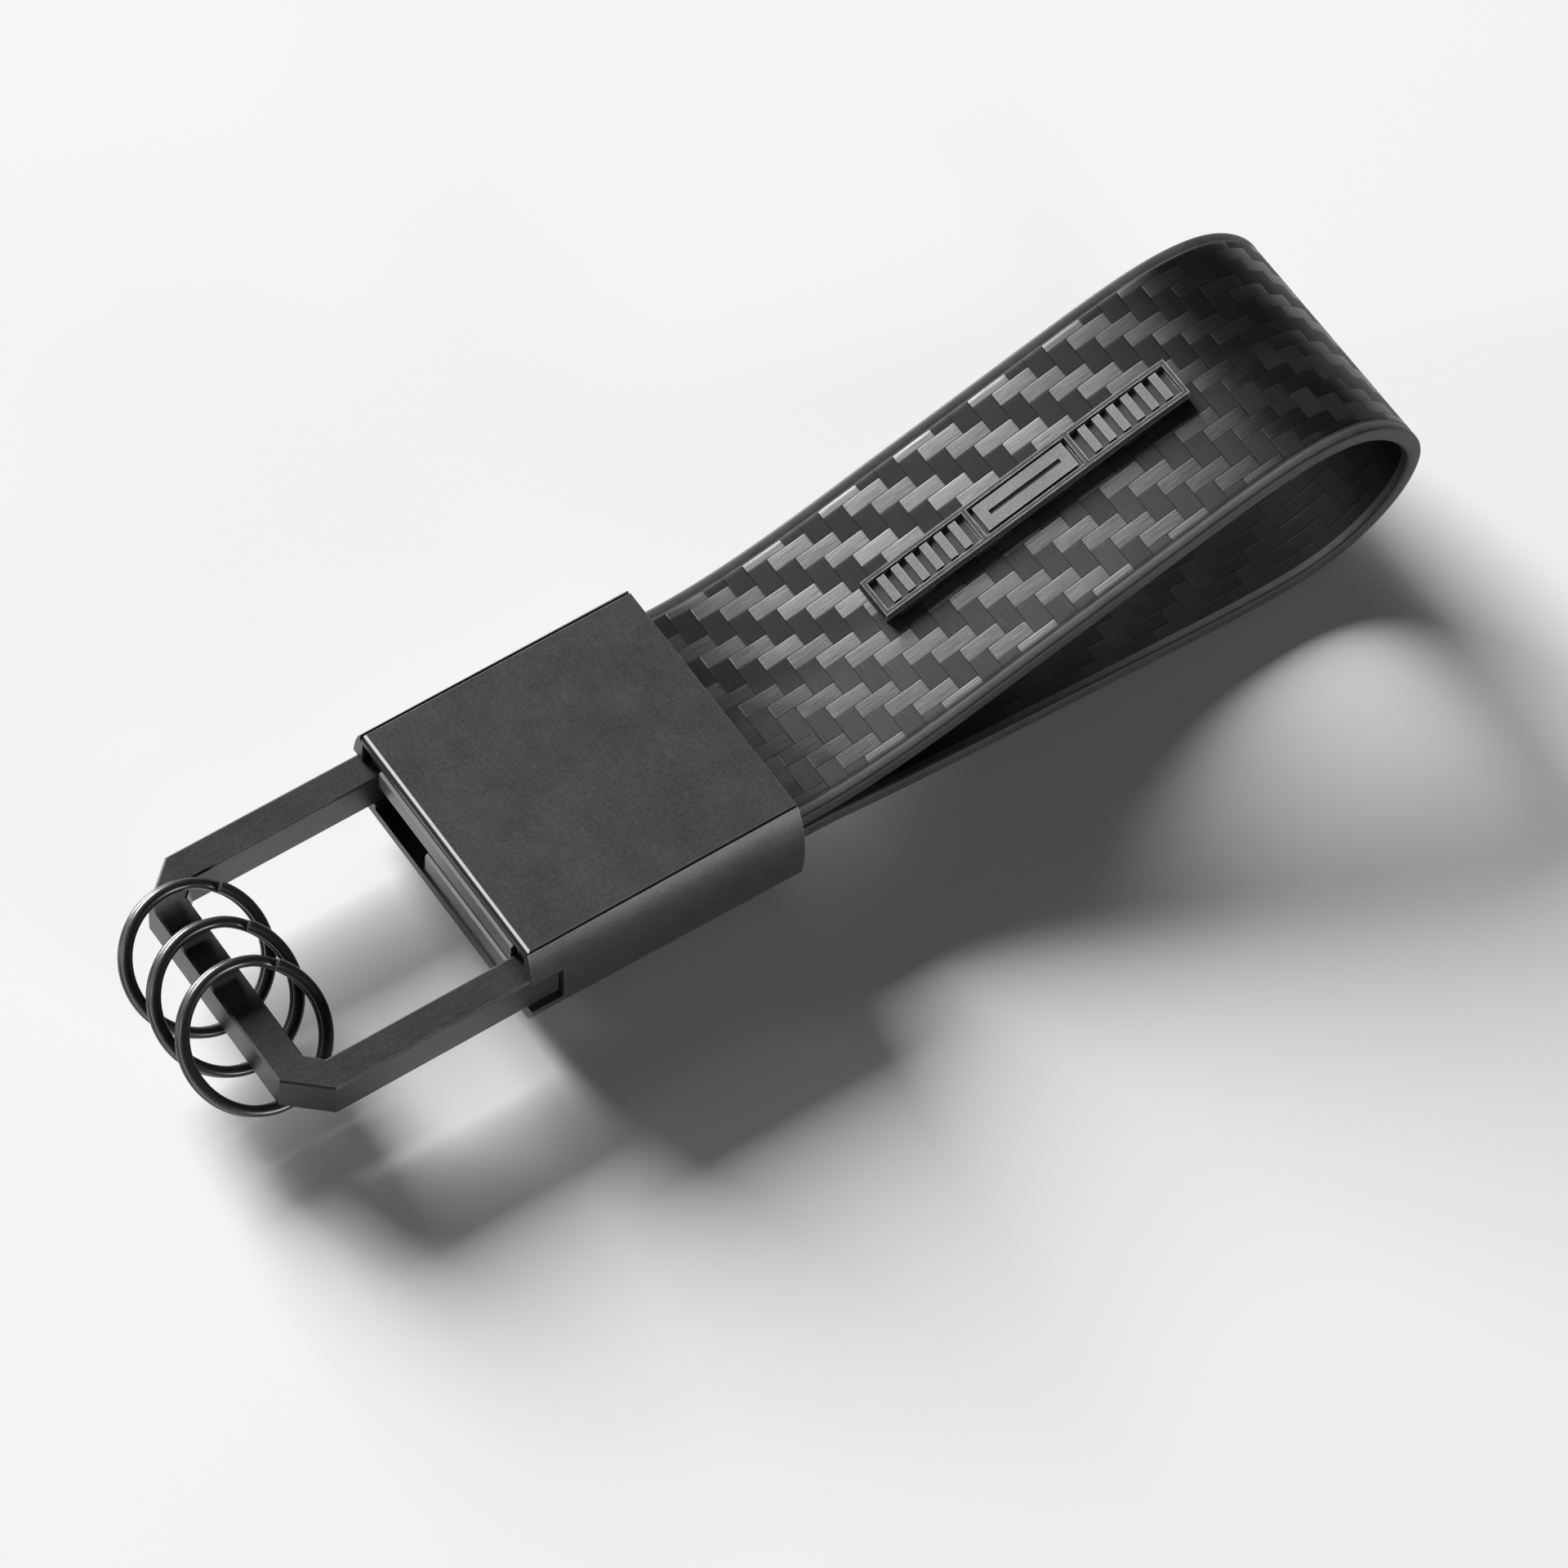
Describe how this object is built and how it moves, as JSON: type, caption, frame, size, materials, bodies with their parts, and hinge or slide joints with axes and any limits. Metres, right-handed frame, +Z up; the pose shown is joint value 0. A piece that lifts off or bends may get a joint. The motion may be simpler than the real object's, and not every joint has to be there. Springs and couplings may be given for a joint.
{
  "type": "key organiser",
  "caption": "Leather-loop key organiser: flat metal clasp, U-shaped key frame that swings open sideways, small split rings on its end bar, and a weave-embossed strap loop with a bar badge.",
  "frame": {"origin": "middle of the whole object's bounding box, on the surface it lies on", "axes": "+X along the organiser from the key frame to the strap loop's tip, +Y across it towards the frame's pivot leg, +Z up out of the clasp's cover"},
  "size_m": [0.1329, 0.0316, 0.0228],
  "materials": {
    "clasp_satin": "satin micro-brushed charcoal coating over zinc alloy",
    "jaw_satin": "satin charcoal, a little lighter than the clasp",
    "frame_satin": "satin charcoal coating with softly worn edges",
    "ring_black": "semi-gloss black plated spring steel",
    "screw_black": "black oxide steel",
    "pin_steel": "plain steel",
    "bushing_brass": "plain brass",
    "strap_carbon": "leather embossed with a 2x2 twill weave, semi-gloss film",
    "strap_core": "plain bonded leather",
    "strap_lining": "leather embossed with the same weave, matt",
    "badge_black": "satin black with bright rubbed edges",
    "badge_bright": "satin steel"
  },
  "bodies": {
    "clasp": {"clasp_housing": "clasp_satin", "clasp_cover": "clasp_satin", "cover_studs": "pin_steel", "upper_jaw": "jaw_satin", "lower_jaw": "jaw_satin", "jaw_screws": "screw_black", "pivot_pin": "pin_steel", "detent_spring": "pin_steel", "strap_outer": "strap_carbon", "strap_core": "strap_core", "strap_lining": "strap_lining", "strap_tongue": "pin_steel", "clamp_upper": "clasp_satin", "clamp_lower": "clasp_satin", "clamp_screws": "screw_black", "strap_rivets": "pin_steel", "badge_plate": "badge_black", "badge_ribs": "badge_bright", "badge_inlay": "badge_bright", "badge_posts": "badge_black", "badge_washers": "badge_black"},
    "frame": {"key_frame": "frame_satin", "frame_bushing": "bushing_brass"},
    "ball": {"detent_ball": "pin_steel"},
    "ring_1": {"split_ring_1": "ring_black"},
    "ring_2": {"split_ring_2": "ring_black"},
    "ring_3": {"split_ring_3": "ring_black"}
  },
  "joints": [
    {"name": "frame_swing", "type": "hinge", "parent": "clasp", "child": "frame", "pos_m": [-0.03386, 0.013, 0.00577], "axis": [0, 0, -1], "range_deg": [0, 90]},
    {"name": "detent_ball_slide", "type": "slide", "parent": "clasp", "child": "ball", "axis": [0, 1, 0], "range_m": [0, 0.0004], "stiffness_N_per_m": 400, "springref_m": -0.0004, "deforming": ["detent_spring"]},
    {"name": "ring_1_tilt", "type": "hinge", "parent": "frame", "child": "ring_1", "pos_m": [-0.05868, 0.005, 0.00577], "axis": [1, 0, 0], "range_deg": [0, 42]},
    {"name": "ring_2_tilt", "type": "hinge", "parent": "frame", "child": "ring_2", "pos_m": [-0.05868, 0.0001, 0.00577], "axis": [1, 0, 0], "range_deg": [0, 42]},
    {"name": "ring_3_tilt", "type": "hinge", "parent": "frame", "child": "ring_3", "pos_m": [-0.05868, -0.0048, 0.00577], "axis": [1, 0, 0], "range_deg": [0, 42]}
  ]
}
